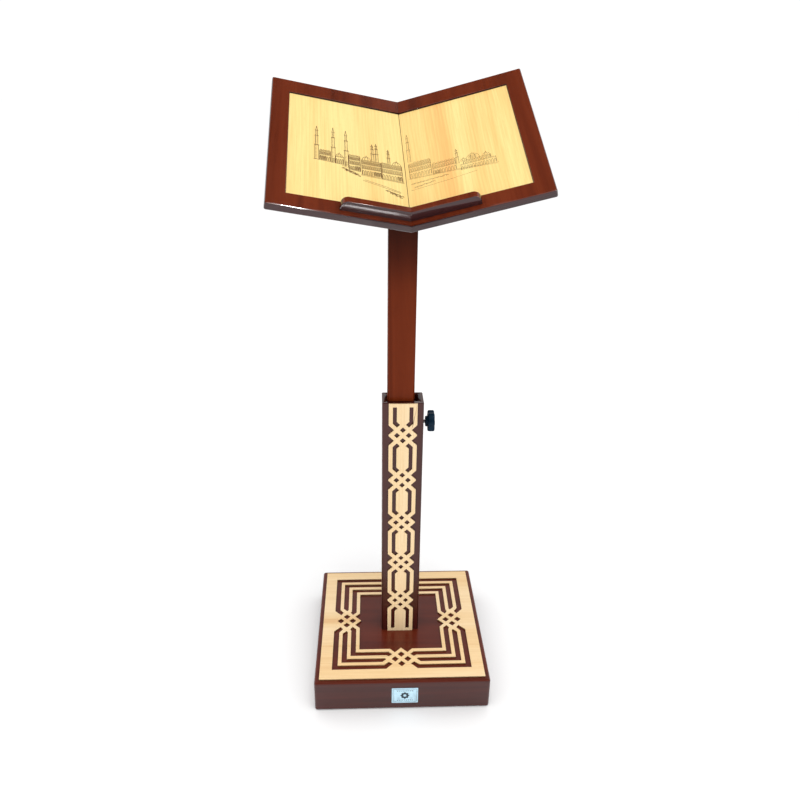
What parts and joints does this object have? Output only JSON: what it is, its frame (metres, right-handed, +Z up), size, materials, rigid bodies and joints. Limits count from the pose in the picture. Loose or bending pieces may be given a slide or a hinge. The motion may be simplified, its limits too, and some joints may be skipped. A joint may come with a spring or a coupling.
{
  "type": "quran stand",
  "caption": "Floor-standing reading stand: square fretwork base, square column, sliding post locked by a side knob, V-shaped book desk with a front ledge.",
  "frame": {"origin": "middle of the base, on the floor under the felt pads", "axes": "+Z up; -Y is the side the reader stands on; +X is the side of the clamp knob"},
  "size_m": [0.3808, 0.3008, 1.0084],
  "materials": {
    "lacquer_red": "glossy red-brown lacquer over board",
    "lacquer_dark": "glossy dark brown lacquer over board",
    "beech_fret": "matt beech veneer, cut by machine",
    "desk_veneer": "satin beech veneer with an engraved skyline",
    "raw_board": "raw fibreboard or beech",
    "black_plastic": "moulded black plastic",
    "zinc_steel": "zinc plated steel",
    "brass": "turned brass",
    "felt": "dark felt",
    "label_metal": "satin plate"
  },
  "bodies": {
    "base_and_column": {"base_bottom_board": "raw_board", "base_fretwork": "beech_fret", "base_skirt_front": "lacquer_dark", "base_skirt_left": "lacquer_dark", "base_skirt_rear": "lacquer_dark", "base_skirt_right": "lacquer_dark", "base_top_board": "lacquer_dark", "column_foot_block": "raw_board", "column_fretwork": "beech_fret", "column_front_board": "lacquer_dark", "column_left_board": "lacquer_dark", "column_rear_board": "lacquer_dark", "column_right_board": "lacquer_dark", "column_screw_left": "zinc_steel", "column_screw_right": "zinc_steel", "corner_block_front_left": "raw_board", "corner_block_front_right": "raw_board", "corner_block_rear_left": "raw_board", "corner_block_rear_right": "raw_board", "felt_pad_front_left": "felt", "felt_pad_front_right": "felt", "felt_pad_rear_left": "felt", "felt_pad_rear_right": "felt", "floor_screw_front_left": "zinc_steel", "floor_screw_front_right": "zinc_steel", "floor_screw_rear_left": "zinc_steel", "floor_screw_rear_right": "zinc_steel", "label_plate": "label_metal", "threaded_insert": "brass"},
    "post_and_desk": {"desk_cradle": "lacquer_red", "left_cradle_screw_1": "zinc_steel", "left_cradle_screw_2": "zinc_steel", "left_ledge": "lacquer_red", "left_ledge_screw_1": "zinc_steel", "left_ledge_screw_2": "zinc_steel", "left_wing_board": "lacquer_red", "left_wing_panel": "desk_veneer", "post": "lacquer_red", "post_screw_left": "zinc_steel", "post_screw_right": "zinc_steel", "right_cradle_screw_1": "zinc_steel", "right_cradle_screw_2": "zinc_steel", "right_ledge": "lacquer_red", "right_ledge_screw_1": "zinc_steel", "right_ledge_screw_2": "zinc_steel", "right_wing_board": "lacquer_red", "right_wing_panel": "desk_veneer"},
    "clamp_pad": {"pressure_pad": "black_plastic"},
    "clamp_knob": {"clamp_stud": "zinc_steel", "knob_head": "black_plastic"}
  },
  "joints": [
    {"name": "height_slide", "type": "slide", "parent": "base_and_column", "child": "post_and_desk", "axis": [0, 0, 1], "range_m": [-0.29, 0.05]},
    {"name": "clamp_travel", "type": "slide", "parent": "base_and_column", "child": "clamp_pad", "axis": [1, 0, 0], "range_m": [0, 0.003]},
    {"name": "knob_turn", "type": "hinge", "parent": "clamp_pad", "child": "clamp_knob", "pos_m": [0.045, 0, 0.4785], "axis": [1, 0, 0], "range_deg": [0, 1080]}
  ],
  "couplings": [
    {"joint": "knob_turn", "follows": "clamp_travel", "rad_per_m": 6283.2}
  ]
}
